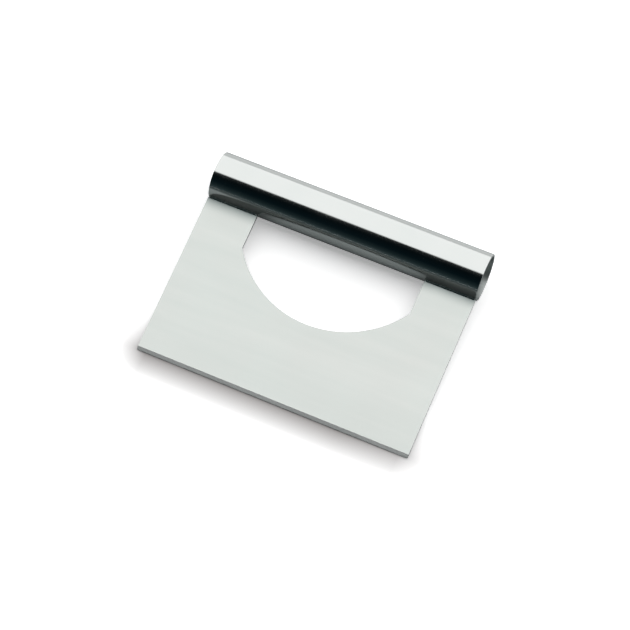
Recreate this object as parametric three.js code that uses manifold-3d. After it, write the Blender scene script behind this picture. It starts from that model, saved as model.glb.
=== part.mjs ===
// Bench scraper: a satin stainless sheet with a D-shaped hand hole and a ground front edge,
// welded by its two rear tabs to an open, polished stainless tube that is the handle.
// Millimetres, +Z up. The scraper lies as it does on a worktop: on the underside of the tube
// and on the front edge of the sheet, so the sheet slopes down from the tube to its edge.
// The origin is on the worktop, below the middle of the scraper's outline.

import * as THREE from 'three';
import { mergeVertices } from 'three/addons/utils/BufferGeometryUtils.js';
import Module from 'manifold-3d';

// ---- Driving dimensions -------------------------------------------------------------

const overallWidth = 150;        // along X, the same for the sheet and the tube
const tubeRadius = 12.9;
const tubeWall = 1.2;
const tubeEndBreak = 0.25;       // chamfer on the tube's cut ends
const tubeSides = 96;

const sheetThickness = 1.5;
const sheetReach = 102.5;        // from the tube's axis to the front edge, along the sheet
const frontCornerRadius = 0.8;
const bevelLength = 1.8;         // ground on the upper face, along the front edge
const edgeLand = 0.75;           // thickness left at the very edge

const holeHalfWidth = 46.9;
const holeArcRadius = 56;
const holeArcCentre = -1.7;      // in front of the tube's axis, along the sheet
const holeArcSteps = 48;

const weldLeg = 0.8;             // fillet weld between the sheet and the tube
const weldEndMargin = 0.4;       // bare length left at both ends of each weld
const sheetGap = 0.3;            // between the sheet's tabs and the tube
const weldGap = 0.12;            // between a weld and what it joins

// ---- What follows from them ---------------------------------------------------------

const halfWidth = overallWidth / 2;
const halfThickness = sheetThickness / 2;
const tabRear = -(tubeRadius + sheetGap);

// The slope at which the tube's underside and the sheet's lower front edge touch one plane.
const slope =
  Math.asin(tubeRadius / Math.hypot(sheetReach, halfThickness)) - Math.atan(halfThickness / sheetReach);

// ---- Finishes -----------------------------------------------------------------------

const satinSteel = new THREE.MeshStandardMaterial({ color: 0xd8dcd8, roughness: 0.38, metalness: 1 });
const polishedSteel = new THREE.MeshStandardMaterial({ color: 0xe6e9e8, roughness: 0.08, metalness: 1 });
const weldSteel = new THREE.MeshStandardMaterial({ color: 0xb9bdba, roughness: 0.3, metalness: 1 });

// ---- Solids: joining and cutting ----------------------------------------------------

const wasm = await Module();
wasm.setup();

function toSolid(geometry) {
  const bare = geometry.clone();
  bare.deleteAttribute('normal');
  bare.deleteAttribute('uv');
  const merged = mergeVertices(bare, 1e-5);
  const mesh = new wasm.Mesh({
    numProp: 3,
    vertProperties: new Float32Array(merged.attributes.position.array),
    triVerts: new Uint32Array(merged.index.array),
  });
  return new wasm.Manifold(mesh);
}

function toGeometry(solid) {
  const mesh = solid.getMesh();
  const geometry = new THREE.BufferGeometry();
  geometry.setAttribute('position', new THREE.BufferAttribute(new Float32Array(mesh.vertProperties), 3));
  geometry.setIndex(new THREE.BufferAttribute(new Uint32Array(mesh.triVerts), 1));
  geometry.computeVertexNormals();
  return geometry;
}

// Extrudes a shape drawn in the Y-Z plane along X, between two X stations.
function extrudeAlongX(shape, startX, endX) {
  const geometry = new THREE.ExtrudeGeometry(shape, {
    depth: endX - startX,
    bevelEnabled: false,
    curveSegments: 12,
  });
  const toYz = new THREE.Matrix4().set(
    0, 0, 1, startX,
    1, 0, 0, 0,
    0, 1, 0, 0,
    0, 0, 0, 1,
  );
  return geometry.applyMatrix4(toYz);
}

// ---- The handle: an open tube along X -----------------------------------------------

function tubeGeometry() {
  const inner = tubeRadius - tubeWall;
  const shoulder = halfWidth - tubeEndBreak;
  const profile = [
    [inner + tubeEndBreak, -halfWidth],
    [tubeRadius - tubeEndBreak, -halfWidth],
    [tubeRadius, -shoulder],
    [tubeRadius, shoulder],
    [tubeRadius - tubeEndBreak, halfWidth],
    [inner + tubeEndBreak, halfWidth],
    [inner, shoulder],
    [inner, -shoulder],
    [inner + tubeEndBreak, -halfWidth],
  ].map(([radius, along]) => new THREE.Vector2(radius, along));
  return new THREE.LatheGeometry(profile, tubeSides).rotateZ(-Math.PI / 2);
}

// ---- The sheet: outline, open hand hole and ground edge -----------------------------

// The outline runs round the sheet and in along the hand hole, which is open to the tube
// between the two tabs. The hole has short straight sides and one long arc.
function sheetOutline() {
  const arcStart = Math.acos(holeHalfWidth / holeArcRadius);
  const shape = new THREE.Shape();
  shape.moveTo(-halfWidth, tabRear);
  shape.lineTo(-halfWidth, -sheetReach + frontCornerRadius);
  shape.absarc(
    -halfWidth + frontCornerRadius, -sheetReach + frontCornerRadius,
    frontCornerRadius, Math.PI, 1.5 * Math.PI, false,
  );
  shape.lineTo(halfWidth - frontCornerRadius, -sheetReach);
  shape.absarc(
    halfWidth - frontCornerRadius, -sheetReach + frontCornerRadius,
    frontCornerRadius, 1.5 * Math.PI, 2 * Math.PI, false,
  );
  shape.lineTo(halfWidth, tabRear);
  shape.lineTo(holeHalfWidth, tabRear);
  for (let step = 0; step <= holeArcSteps; step += 1) {
    const angle = -arcStart - (step / holeArcSteps) * (Math.PI - 2 * arcStart);
    shape.lineTo(holeArcRadius * Math.cos(angle), holeArcCentre + holeArcRadius * Math.sin(angle));
  }
  shape.lineTo(-holeHalfWidth, tabRear);
  shape.closePath();
  return shape;
}

// The wedge that the grinding takes off above the front edge.
function bevelWedge() {
  const over = 2;
  const drop = sheetThickness - edgeLand;
  const slopeRatio = drop / bevelLength;
  const edgeY = -sheetReach;
  const section = new THREE.Shape();
  section.moveTo(edgeY + bevelLength + over, halfThickness + over * slopeRatio);
  section.lineTo(edgeY - over, halfThickness + over * slopeRatio);
  section.lineTo(edgeY - over, halfThickness - drop - over * slopeRatio);
  section.closePath();
  return extrudeAlongX(section, -halfWidth - over, halfWidth + over);
}

function bladeGeometry() {
  const flat = new THREE.ExtrudeGeometry(sheetOutline(), {
    depth: sheetThickness,
    bevelEnabled: false,
    curveSegments: 6,
  });
  flat.translate(0, 0, -halfThickness);
  return toGeometry(toSolid(flat).subtract(toSolid(bevelWedge())));
}

// ---- The welds: a concave fillet along each tab, above and below the sheet ----------

// side is 1 above the sheet and -1 below it.
function weldSection(side) {
  const base = halfThickness + weldGap;
  const top = base + weldLeg;
  const clearRadius = tubeRadius + weldGap;
  const onTube = (height) => -Math.sqrt(clearRadius ** 2 - height ** 2);
  const toe = -(clearRadius + weldLeg);
  const section = new THREE.Shape();
  section.moveTo(toe, side * base);
  section.quadraticCurveTo(
    onTube(base) - weldLeg * 0.35, side * (base + weldLeg * 0.35),
    onTube(top), side * top,
  );
  section.lineTo(onTube(base + weldLeg / 2), side * (base + weldLeg / 2));
  section.lineTo(onTube(base), side * base);
  section.closePath();
  return section;
}

function weldGeometry(tabSide, side) {
  const innerEnd = holeHalfWidth + weldEndMargin;
  const outerEnd = halfWidth - weldEndMargin;
  const start = tabSide > 0 ? innerEnd : -outerEnd;
  return extrudeAlongX(weldSection(side), start, start + outerEnd - innerEnd);
}

// ---- Assembly -----------------------------------------------------------------------

function named(name, geometry, material) {
  const mesh = new THREE.Mesh(geometry, material);
  mesh.name = name;
  return mesh;
}

const handle = named('handle_tube', tubeGeometry(), polishedSteel);

// The sheet and its welds share the sheet's own plane, turned about the tube's axis.
const sheetGroup = new THREE.Group();
sheetGroup.rotation.x = slope;
sheetGroup.add(named('blade', bladeGeometry(), satinSteel));
for (const [tabName, tabSide] of [['left', -1], ['right', 1]]) {
  for (const [faceName, side] of [['upper', 1], ['lower', -1]]) {
    sheetGroup.add(named(`${tabName}_${faceName}_weld`, weldGeometry(tabSide, side), weldSteel));
  }
}

const scraper = new THREE.Group();
scraper.add(handle, sheetGroup);

// Stand it on the worktop, with the middle of its outline over the origin.
scraper.updateMatrixWorld(true);
const extent = new THREE.Box3().setFromObject(scraper, true);
scraper.position.set(0, -(extent.min.y + extent.max.y) / 2, tubeRadius);

export default scraper;
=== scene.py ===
# The looks of a bench scraper: a satin stainless sheet with a D-shaped hand hole and a ground
# edge, welded to a mirror-polished tube. Metres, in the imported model's frame.

import math

import bmesh
import bpy
from mathutils import Matrix, Vector


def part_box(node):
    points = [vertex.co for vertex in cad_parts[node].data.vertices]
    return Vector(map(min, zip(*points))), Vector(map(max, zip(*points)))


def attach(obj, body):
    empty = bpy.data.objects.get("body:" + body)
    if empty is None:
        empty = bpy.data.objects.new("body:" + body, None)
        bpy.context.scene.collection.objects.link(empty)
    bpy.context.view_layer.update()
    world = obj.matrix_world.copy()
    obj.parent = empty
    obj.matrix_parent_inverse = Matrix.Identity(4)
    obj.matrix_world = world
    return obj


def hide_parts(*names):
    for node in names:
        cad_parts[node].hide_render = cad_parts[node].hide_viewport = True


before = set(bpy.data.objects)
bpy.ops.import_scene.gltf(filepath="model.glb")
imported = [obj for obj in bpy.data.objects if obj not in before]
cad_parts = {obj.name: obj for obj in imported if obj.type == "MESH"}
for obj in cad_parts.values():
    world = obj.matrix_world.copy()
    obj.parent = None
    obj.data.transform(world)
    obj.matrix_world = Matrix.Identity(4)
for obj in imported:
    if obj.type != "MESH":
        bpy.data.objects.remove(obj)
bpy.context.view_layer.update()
bpy.context.scene.view_settings.view_transform = "Standard"

MM = 0.001

# ---- Sizes, from the frame and from the real object's construction ---------------------

TUBE_LOW, TUBE_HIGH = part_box("handle_tube")
FRONT_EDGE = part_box("blade")[0].y

HALF_WIDTH = TUBE_HIGH.x
TUBE_RADIUS = (TUBE_HIGH.z - TUBE_LOW.z) / 2
TUBE_AXIS = Vector((0, (TUBE_LOW.y + TUBE_HIGH.y) / 2, TUBE_RADIUS))
TUBE_WALL = 1.2 * MM
TUBE_LIP = 0.25 * MM
TUBE_SIDES = 288
LIP_STEPS = 4

SHEET_THICKNESS = 1.5 * MM
SHEET_REACH = 102.5 * MM
HALF_SHEET = SHEET_THICKNESS / 2
HOLE_HALF_WIDTH = 46.9 * MM
BEVEL_LENGTH = 1.8 * MM
EDGE_BREAK = 0.1 * MM
# The painted shade on the sheet beside the tube: its width, where it is full, its falloff and how far
# its edge wanders.
TUBE_SHADE_WIDTH = 7 * MM
TUBE_SHADE_FULL = 0.4 * MM
TUBE_SHADE_FALLOFF = 1.7
TUBE_SHADE_WANDER = 0.6 * MM

WELD_LEG = 0.8 * MM
WELD_SINK = 0.08 * MM
WELD_MARGIN = 0.4 * MM
WELD_STATIONS = 112
WELD_ARC_STEPS = 8
RIPPLE_PITCH = 1.1 * MM

# Shares of the weld's leg: the bead's mean size, its ripple, its hollow and its size at the ends.
BEAD_SIZE = 0.93
RIPPLE_SIZE = 0.04
HOLLOW_SIZE = 0.38
END_SIZE = 0.35
END_STATIONS = 3

# The sheet's slope, where it rests on its front edge and the tube rests on its underside.
EDGE_DISTANCE = math.hypot(SHEET_REACH, HALF_SHEET)
SLOPE = math.asin(TUBE_RADIUS / EDGE_DISTANCE) - math.atan(HALF_SHEET / SHEET_REACH)

# ---- Camera ------------------------------------------------------------------------------

CAMERA_AZIMUTH = 27.177
CAMERA_ELEVATION = 65.964
CAMERA_ROLL = -3.595
CAMERA_FIELD = 15.790
CAMERA_DISTANCE = 1.16615
CAMERA_AIM = Vector((0.89, -3.66, 0)) * MM


def add_camera():
    azimuth = math.radians(CAMERA_AZIMUTH)
    elevation = math.radians(CAMERA_ELEVATION)
    roll = math.radians(CAMERA_ROLL)
    level = math.cos(elevation)
    back = Vector((math.sin(azimuth) * level, -math.cos(azimuth) * level, math.sin(elevation)))
    right = Vector((math.cos(azimuth), math.sin(azimuth), 0))
    up = back.cross(right)
    rolled_right = right * math.cos(roll) + up * math.sin(roll)
    rolled_up = up * math.cos(roll) - right * math.sin(roll)
    data = bpy.data.cameras.new("camera")
    data.angle = math.radians(CAMERA_FIELD)
    data.clip_start = 0.01
    data.clip_end = 50
    camera = bpy.data.objects.new("camera", data)
    axes = Matrix((rolled_right, rolled_up, back)).transposed()
    place = CAMERA_AIM + back * CAMERA_DISTANCE
    camera.matrix_world = Matrix.Translation(place) @ axes.to_4x4()
    bpy.context.scene.collection.objects.link(camera)
    bpy.context.scene.camera = camera


add_camera()

# ---- Node helpers --------------------------------------------------------------------------


class Nodes:
    """A small hand for building one material's node tree."""

    def __init__(self, name):
        self.material = bpy.data.materials.new(name)
        self.material.use_nodes = True
        self.tree = self.material.node_tree
        self.shader = self.tree.nodes["Principled BSDF"]
        self.object_coords = self.add("ShaderNodeTexCoord").outputs["Object"]

    def add(self, kind, **settings):
        node = self.tree.nodes.new(kind)
        for key, value in settings.items():
            setattr(node, key, value)
        return node

    def link(self, source, target):
        self.tree.links.new(source, target)

    def scaled(self, scale):
        mapping = self.add("ShaderNodeMapping")
        mapping.inputs["Scale"].default_value = scale
        self.link(self.object_coords, mapping.inputs["Vector"])
        return mapping.outputs["Vector"]

    def place(self):
        """The object's own X and Y, as two sockets."""
        parts = self.add("ShaderNodeSeparateXYZ")
        self.link(self.object_coords, parts.inputs[0])
        return parts.outputs["X"], parts.outputs["Y"]

    def noise(self, vector, scale, detail=3.0, roughness=0.5):
        noise = self.add("ShaderNodeTexNoise")
        noise.inputs["Scale"].default_value = scale
        noise.inputs["Detail"].default_value = detail
        noise.inputs["Roughness"].default_value = roughness
        self.link(vector, noise.inputs["Vector"])
        return noise.outputs["Fac"]

    def spread(self, value, low, high, from_low=0.3, from_high=0.7):
        node = self.add("ShaderNodeMapRange")
        node.inputs["From Min"].default_value = from_low
        node.inputs["From Max"].default_value = from_high
        node.inputs["To Min"].default_value = low
        node.inputs["To Max"].default_value = high
        self.link(value, node.inputs["Value"])
        return node.outputs["Result"]

    def math(self, operation, first, second):
        node = self.add("ShaderNodeMath", operation=operation)
        for socket, value in zip(node.inputs, (first, second)):
            if isinstance(value, (int, float)):
                socket.default_value = value
            else:
                self.link(value, socket)
        return node.outputs[0]

    def blend(self, factor, first, second):
        """A mix of two colours, each given as a triple or as a socket."""
        node = self.add("ShaderNodeMix", data_type="RGBA")
        self.link(factor, node.inputs[0])
        for socket, colour in zip((node.inputs[6], node.inputs[7]), (first, second)):
            if isinstance(colour, tuple):
                socket.default_value = (*colour, 1)
            else:
                self.link(colour, socket)
        return node.outputs[2]

    def bump(self, height, strength, distance):
        node = self.add("ShaderNodeBump")
        node.inputs["Strength"].default_value = strength
        node.inputs["Distance"].default_value = distance
        self.link(height, node.inputs["Height"])
        return node.outputs["Normal"]

    def metal(self, tone, rough, normal):
        """Finishes the material as bare metal, from its colour, roughness and normal sockets."""
        self.shader.inputs["Metallic"].default_value = 1.0
        self.link(tone, self.shader.inputs["Base Color"])
        self.link(rough, self.shader.inputs["Roughness"])
        self.link(normal, self.shader.inputs["Normal"])
        return self.material


# ---- Materials -----------------------------------------------------------------------------


def polished_steel():
    """Mirror-polished tube: faint hairlines round it and a little haze from handling."""
    n = Nodes("polished_tube")
    hairlines = n.noise(n.scaled((3000, 30, 30)), 1.0, 2.0)
    haze = n.noise(n.scaled((1, 1, 1)), 45.0, 3.0)
    tone = n.blend(n.spread(haze, 0, 1), (0.497, 0.517, 0.506), (0.515, 0.53, 0.52))
    rough = n.math("ADD", n.spread(haze, 0.085, 0.115), n.spread(hairlines, 0.0, 0.02))
    return n.metal(tone, rough, n.bump(hairlines, 0.01, 0.01 * MM))


def bore_steel():
    """The tube's bore, left as it was drawn: dull, with streaks along it."""
    n = Nodes("tube_bore")
    streaks = n.noise(n.scaled((25, 900, 900)), 1.0, 3.0)
    tone = n.blend(n.spread(streaks, 0, 1), (0.36, 0.39, 0.38), (0.46, 0.49, 0.48))
    return n.metal(tone, n.spread(streaks, 0.34, 0.46), n.bump(streaks, 0.15, 0.03 * MM))


def satin_steel():
    """Satin sheet: a fine straight grain along its width, soft clouds in the finish, and a painted
    shade: the sheet's colour darker in a band beside the tube, where the tube meets it."""
    n = Nodes("satin_sheet")
    grain = n.noise(n.scaled((60, 7000, 7000)), 1.0, 3.0)
    streaks = n.noise(n.scaled((9, 120, 120)), 1.0, 3.0)
    clouds = n.noise(n.scaled((1, 1, 1)), 26.0, 4.0, 0.6)
    patches = n.math("MULTIPLY", n.math("ADD", clouds, streaks), 0.5)
    satin = n.blend(n.spread(patches, 0, 1), (0.51, 0.545, 0.523), (0.575, 0.595, 0.573))
    tube_front = TUBE_LOW.y
    # Painted shade: the colour darkens towards the tube's front, over a band with a wavy edge.
    wavy = n.math("ADD", n.place()[1], n.spread(clouds, -TUBE_SHADE_WANDER, TUBE_SHADE_WANDER))
    tube_shade = n.spread(wavy, 0, 1, tube_front - TUBE_SHADE_WIDTH, tube_front - TUBE_SHADE_FULL)
    tube_shade = n.math("POWER", tube_shade, TUBE_SHADE_FALLOFF)
    tone = n.blend(tube_shade, satin, (0.225, 0.262, 0.255))
    rough = n.math("ADD", n.spread(clouds, 0.42, 0.48), n.spread(grain, -0.02, 0.02))
    return n.metal(tone, rough, n.bump(grain, 0.05, 0.02 * MM))


def worn_steel():
    """Rounded edges, rubbed brighter and smoother than the faces beside them."""
    n = Nodes("worn_edge")
    rub = n.noise(n.scaled((1, 1, 1)), 350.0, 3.0)
    tone = n.blend(n.spread(rub, 0, 1), (0.5, 0.515, 0.505), (0.6, 0.61, 0.6))
    return n.metal(tone, n.spread(rub, 0.22, 0.36), n.bump(rub, 0.05, 0.02 * MM))


def ground_steel():
    """The ground bevel: coarser scratches straight across the edge, greyer than the sheet."""
    n = Nodes("ground_edge")
    scratches = n.noise(n.scaled((5000, 150, 150)), 1.0, 3.0, 0.6)
    clouds = n.noise(n.scaled((1, 1, 1)), 60.0, 3.0)
    tone = n.blend(n.spread(clouds, 0, 1), (0.62, 0.64, 0.63), (0.68, 0.7, 0.69))
    return n.metal(tone, n.spread(scratches, 0.6, 0.72), n.bump(scratches, 0.12, 0.03 * MM))


def weld_steel():
    """Dressed weld: duller than the sheet, with a pitted, slightly uneven face."""
    n = Nodes("weld_bead")
    pits = n.noise(n.scaled((1, 1, 1)), 2600.0, 3.0)
    clouds = n.noise(n.scaled((1, 1, 1)), 300.0, 3.0)
    tone = n.blend(n.spread(clouds, 0, 1), (0.4, 0.42, 0.41), (0.5, 0.52, 0.505))
    return n.metal(tone, n.spread(clouds, 0.2, 0.34), n.bump(pits, 0.2, 0.03 * MM))


# ---- Mesh helpers --------------------------------------------------------------------------


def add_object(name, mesh):
    piece = bpy.data.objects.new(name, mesh)
    bpy.context.scene.collection.objects.link(piece)
    return piece


def swept_mesh(name, rings, closed_sweep):
    """Joins rings of points into one closed skin. An open sweep gets a cap on both ends."""
    bm = bmesh.new()
    loops = [[bm.verts.new(point) for point in ring] for ring in rings]
    count = len(loops[0])
    pairs = list(zip(loops, loops[1:]))
    if closed_sweep:
        pairs.append((loops[-1], loops[0]))
    for near, far in pairs:
        for i in range(count):
            j = (i + 1) % count
            bm.faces.new((near[i], near[j], far[j], far[i]))
    if not closed_sweep:
        bm.faces.new(loops[0][::-1])
        bm.faces.new(loops[-1])
    bmesh.ops.recalc_face_normals(bm, faces=bm.faces)
    mesh = bpy.data.meshes.new(name)
    bm.to_mesh(mesh)
    bm.free()
    return mesh


def smooth_by_angle(mesh, degrees):
    """Smooth shading, with hard edges where the faces meet at more than the angle."""
    mesh.polygons.foreach_set("use_smooth", [True] * len(mesh.polygons))
    bm = bmesh.new()
    bm.from_mesh(mesh)
    limit = math.radians(degrees)
    for edge in bm.edges:
        edge.smooth = len(edge.link_faces) == 2 and edge.calc_face_angle(0) < limit
    bm.to_mesh(mesh)
    bm.free()


def finished(piece, node):
    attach(piece, "root")
    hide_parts(node)


# ---- The tube --------------------------------------------------------------------------------


def tube_profile():
    """Points of (distance from the axis, place along it) round the wall's section."""
    inner = TUBE_RADIUS - TUBE_WALL
    points = []
    corners = (
        (TUBE_RADIUS - TUBE_LIP, HALF_WIDTH - TUBE_LIP, 0),
        (inner + TUBE_LIP, HALF_WIDTH - TUBE_LIP, 90),
        (inner + TUBE_LIP, -HALF_WIDTH + TUBE_LIP, 180),
        (TUBE_RADIUS - TUBE_LIP, -HALF_WIDTH + TUBE_LIP, 270),
    )
    for radius, along, start in corners:
        for step in range(LIP_STEPS + 1):
            angle = math.radians(start + 90 * step / LIP_STEPS)
            points.append((radius + TUBE_LIP * math.cos(angle), along + TUBE_LIP * math.sin(angle)))
    return points


def add_tube():
    profile = tube_profile()
    rings = []
    for side in range(TUBE_SIDES):
        angle = 2 * math.pi * side / TUBE_SIDES
        across = Vector((0, math.cos(angle), math.sin(angle)))
        rings.append([TUBE_AXIS + across * radius + Vector((along, 0, 0)) for radius, along in profile])
    mesh = swept_mesh("polished_tube", rings, closed_sweep=True)
    smooth_by_angle(mesh, 40)
    mesh.materials.append(polished_steel())
    mesh.materials.append(bore_steel())
    bore_reach = TUBE_RADIUS - TUBE_WALL + TUBE_LIP
    for polygon in mesh.polygons:
        from_axis = polygon.center - TUBE_AXIS
        if math.hypot(from_axis.y, from_axis.z) < bore_reach:
            polygon.material_index = 1
    finished(add_object("polished_tube", mesh), "handle_tube")


# ---- The sheet -------------------------------------------------------------------------------


SAME_PLACE = 0.005 * MM
SAME_PLANE = math.radians(0.5)
SHARP = math.radians(20)
GROUND_LEAN = (math.radians(15), math.radians(60))
SATIN, GROUND, WORN = range(3)


def add_sheet():
    """The CAD sheet's own shape, with every sharp edge broken by a small round."""
    bm = bmesh.new()
    bm.from_mesh(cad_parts["blade"].data)
    bmesh.ops.remove_doubles(bm, verts=bm.verts, dist=SAME_PLACE)
    bmesh.ops.dissolve_limit(bm, angle_limit=SAME_PLANE, verts=bm.verts, edges=bm.edges)
    sharp = [edge for edge in bm.edges if edge.calc_face_angle(0) > SHARP]
    rounds = bmesh.ops.bevel(
        bm, geom=sharp, offset=EDGE_BREAK, offset_type="OFFSET", segments=2, profile=0.5,
        affect="EDGES", clamp_overlap=True,
    )["faces"]
    for face in bm.faces:
        face.smooth = False
    for face in rounds:
        face.smooth = True
        face.material_index = WORN
    bmesh.ops.triangulate(bm, faces=[face for face in bm.faces if len(face.verts) > 4])
    mesh = bpy.data.meshes.new("satin_sheet")
    bm.to_mesh(mesh)
    bm.free()
    for finish in (satin_steel, ground_steel, worn_steel):
        mesh.materials.append(finish())
    mark_bevel(mesh)
    finished(add_object("satin_sheet", mesh), "blade")


def mark_bevel(mesh):
    """Gives the ground material to the faces that lean forward between the sheet and its edge."""
    face_slope = Vector((0, -math.sin(SLOPE), math.cos(SLOPE)))
    for polygon in mesh.polygons:
        lean = polygon.normal.angle(face_slope)
        at_front = polygon.center.y < FRONT_EDGE + BEVEL_LENGTH
        on_face = polygon.material_index == SATIN
        if on_face and at_front and GROUND_LEAN[0] < lean < GROUND_LEAN[1]:
            polygon.material_index = GROUND


# ---- The welds -------------------------------------------------------------------------------


def on_sheet(x, along, height):
    """A point given by the sheet: along it from the tube's axis, and square to it from its middle."""
    return TUBE_AXIS + Vector((
        x,
        along * math.cos(SLOPE) - height * math.sin(SLOPE),
        along * math.sin(SLOPE) + height * math.cos(SLOPE),
    ))


def weld_ring(leg):
    """The fillet's section, as (along, height) for on_sheet: a concave face, then its sunk root."""
    toe = (-(TUBE_RADIUS + leg), HALF_SHEET)
    top_height = HALF_SHEET + leg
    top = (-math.sqrt(TUBE_RADIUS ** 2 - top_height ** 2), top_height)
    hollow = (-(TUBE_RADIUS + leg * HOLLOW_SIZE), HALF_SHEET + leg * HOLLOW_SIZE)
    ring = []
    for step in range(WELD_ARC_STEPS + 1):
        t = step / WELD_ARC_STEPS
        weights = ((1 - t) ** 2, 2 * t * (1 - t), t ** 2)
        ring.append(tuple(
            sum(weight * point[axis] for weight, point in zip(weights, (toe, hollow, top)))
            for axis in range(2)
        ))
    ring.append((top[0] + WELD_SINK, top[1]))
    ring.append((-TUBE_RADIUS + WELD_SINK, HALF_SHEET - WELD_SINK))
    ring.append((toe[0], HALF_SHEET - WELD_SINK))
    return ring


def add_weld(name, tab_side, face_side):
    """A fillet along one tab, faintly rippled and drawn in at both ends."""
    start = HOLE_HALF_WIDTH + WELD_MARGIN
    length = HALF_WIDTH - WELD_MARGIN - start
    rings = []
    for station in range(WELD_STATIONS + 1):
        reach = start + length * station / WELD_STATIONS
        ripple = RIPPLE_SIZE * math.sin(2 * math.pi * reach / RIPPLE_PITCH)
        from_end = min(station, WELD_STATIONS - station)
        end_fade = min(1.0, from_end / END_STATIONS + END_SIZE)
        ring = weld_ring(WELD_LEG * (BEAD_SIZE + ripple) * end_fade)
        rings.append([on_sheet(tab_side * reach, along, face_side * height) for along, height in ring])
    mesh = swept_mesh(name, rings, closed_sweep=False)
    smooth_by_angle(mesh, 45)
    mesh.materials.append(weld_steel())
    finished(add_object(name + "_bead", mesh), name)


# ---- Floor and light -------------------------------------------------------------------------

FLOOR_HALF_SIZE = 6.0
FLOOR_GLOW = 0.36
PANEL_STRENGTH = 1.62

# The shade painted on the paper: its colour at the front edge, how far it reaches ahead and
# past the ends, where it starts and stops behind the edge, and its strength at the right end.
SHADE_COLOUR = (0.275, 0.262, 0.258)
SHADE_DEPTH = 15 * MM
SHADE_FALLOFF = 0.75
SHADE_BEHIND = (2 * MM, 25 * MM)
SHADE_AT_RIGHT = 0.8

# The paper's colour to every ray but the camera's, painted light and shade: lit white behind the
# scraper, a painted shade round it and in front of it, and where along Y each one fades into the next.
MIRRORED_LIT_BEHIND = (0.93, 0.94, 0.94)
MIRRORED_SHADE_NEARBY = (0.34, 0.37, 0.37)
MIRRORED_SHADE_IN_FRONT = (0.08, 0.1, 0.1)
FRONT_FADE = (-0.09, -0.03)
REAR_FADE = (0.06, 0.10)


def front_shade(n, x, y):
    """1 on the paper under the scraper's front edge, fading out before, behind and past its ends."""
    half = HALF_WIDTH
    fade = SHADE_DEPTH / 3
    ahead = n.math("POWER", n.spread(y, 0, 1, FRONT_EDGE - SHADE_DEPTH, FRONT_EDGE), SHADE_FALLOFF)
    behind = n.spread(y, 1, 0, FRONT_EDGE + SHADE_BEHIND[0], FRONT_EDGE + SHADE_BEHIND[1])
    from_left = n.spread(x, 0, 1, -half - SHADE_DEPTH, -half + fade)
    to_right = n.spread(x, 1, SHADE_AT_RIGHT, half / 2, half)
    past_right = n.spread(x, 1, 0, half - fade, half + SHADE_DEPTH)
    sides = n.math("MULTIPLY", n.math("MULTIPLY", from_left, past_right), to_right)
    return n.math("MULTIPLY", n.math("MULTIPLY", ahead, behind), sides)


def floor_paper():
    """Matt paper, plain white to the camera, with a shade painted in front of the scraper's edge.
    Every other ray, such as one from the metal, sees painted light and shade in it: lit white behind,
    a painted shade grey round it and dark in front, so the metal's reflections aren't those of the
    paper that the camera sees."""
    n = Nodes("floor_paper")
    fibres = n.noise(n.scaled((1, 1, 1)), 900.0, 2.0)
    x, y = n.place()
    paper = n.blend(front_shade(n, x, y), (1, 1, 1), SHADE_COLOUR)
    # Painted light and shade in the paper for the metal's reflections: dark in front, grey round the
    # scraper, white behind.
    painted_shade_nearby = n.blend(n.spread(y, 0, 1, *FRONT_FADE), MIRRORED_SHADE_IN_FRONT, MIRRORED_SHADE_NEARBY)
    mirrored_painted_light = n.blend(n.spread(y, 0, 1, *REAR_FADE), painted_shade_nearby, MIRRORED_LIT_BEHIND)
    seen = n.add("ShaderNodeLightPath").outputs["Is Camera Ray"]
    n.link(n.blend(seen, mirrored_painted_light, paper), n.shader.inputs["Base Color"])
    n.link(n.blend(seen, (0, 0, 0), paper), n.shader.inputs["Emission Color"])
    n.link(n.spread(fibres, 0.9, 1.0), n.shader.inputs["Roughness"])
    n.shader.inputs["Emission Strength"].default_value = FLOOR_GLOW
    n.shader.inputs["Specular IOR Level"].default_value = 0.0
    return n.material


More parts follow.
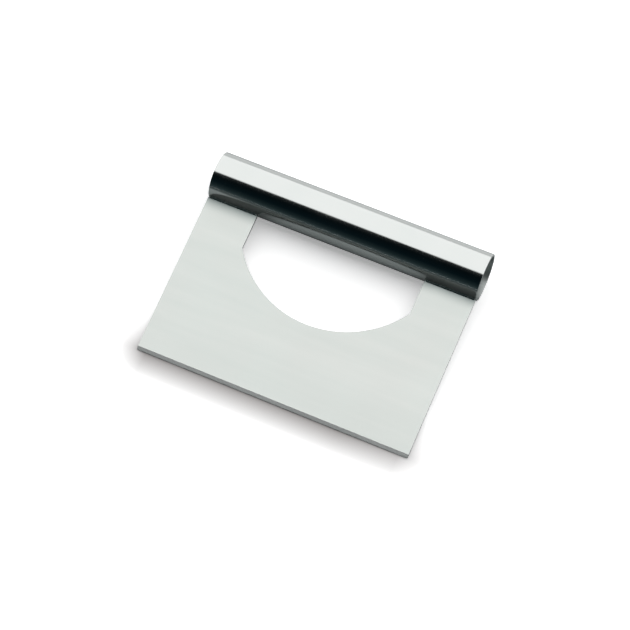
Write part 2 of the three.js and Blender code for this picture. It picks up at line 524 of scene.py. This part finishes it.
def add_floor():
    bm = bmesh.new()
    bmesh.ops.create_grid(bm, x_segments=1, y_segments=1, size=FLOOR_HALF_SIZE)
    mesh = bpy.data.meshes.new("floor")
    bm.to_mesh(mesh)
    bm.free()
    mesh.materials.append(floor_paper())
    add_object("floor", mesh)


# Degrees round from the rear horizon, over the top, to the front horizon, and the colour there.
SKY_STOPS = (
    (0, (1.0, 1.0, 1.0)),
    (101, (1.0, 1.0, 1.0)),
    (104.5, (0.012, 0.014, 0.015)),
    (122, (0.001, 0.003, 0.004)),
    (148, (0.002, 0.006, 0.008)),
    (166, (0.0105, 0.019, 0.021)),
    (180, (0.035, 0.05, 0.053)),
)


def add_studio_light():
    """A white sweep from the rear horizon up and over the top, and darkness in front of it."""
    world = bpy.data.worlds.new("studio")
    bpy.context.scene.world = world
    world.use_nodes = True
    nodes = world.node_tree.nodes
    link = world.node_tree.links.new
    background = nodes["Background"]
    background.inputs["Strength"].default_value = PANEL_STRENGTH
    parts = nodes.new("ShaderNodeSeparateXYZ")
    angle = nodes.new("ShaderNodeMath")
    angle.operation = "ARCTAN2"
    half_turns = nodes.new("ShaderNodeMath")
    half_turns.operation = "DIVIDE"
    half_turns.inputs[1].default_value = math.pi
    ramp = nodes.new("ShaderNodeValToRGB")
    link(nodes.new("ShaderNodeTexCoord").outputs["Generated"], parts.inputs[0])
    link(parts.outputs["Z"], angle.inputs[0])
    link(parts.outputs["Y"], angle.inputs[1])
    link(angle.outputs[0], half_turns.inputs[0])
    link(half_turns.outputs[0], ramp.inputs["Fac"])
    link(ramp.outputs["Color"], background.inputs["Color"])
    elements = ramp.color_ramp.elements
    while len(elements) < len(SKY_STOPS):
        elements.new(0.5)
    for element, (degrees, colour) in zip(elements, SKY_STOPS):
        element.position = degrees / 180
        element.color = (*colour, 1)


# ---- Build -----------------------------------------------------------------------------------

add_floor()
add_studio_light()
add_tube()
add_sheet()
for tab_name, tab_side in (("left", -1), ("right", 1)):
    for face_name, face_side in (("upper", 1), ("lower", -1)):
        add_weld(f"{tab_name}_{face_name}_weld", tab_side, face_side)
